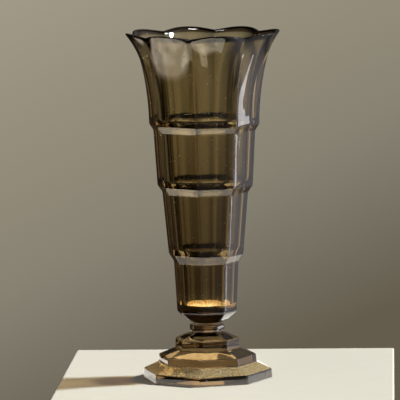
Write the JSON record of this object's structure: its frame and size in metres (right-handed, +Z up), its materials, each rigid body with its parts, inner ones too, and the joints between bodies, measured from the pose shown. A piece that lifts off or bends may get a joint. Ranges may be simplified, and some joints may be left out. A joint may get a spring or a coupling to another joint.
{
  "type": "trumpet vase",
  "caption": "Tall pressed-glass trumpet vase: a faceted, stepped bowl widens to a flared, scalloped mouth and stands on a collar and a stepped foot.",
  "frame": {"origin": "middle of the surface that the foot stands on", "axes": "+Z up along the vase's axis; flats of the foot face +X, -X, +Y and -Y"},
  "size_m": [0.1366, 0.1366, 0.2998],
  "materials": {
    "bowl_glass": "fire-polished pressed glass, smoky brown",
    "collar_glass": "fire-polished pressed glass, smoky brown",
    "foot_glass": "fire-polished pressed glass, smoky brown, ground flat underneath"
  },
  "bodies": {
    "root": {"trumpet_bowl": "bowl_glass", "neck_collar": "collar_glass", "stepped_foot": "foot_glass"}
  },
  "joints": []
}
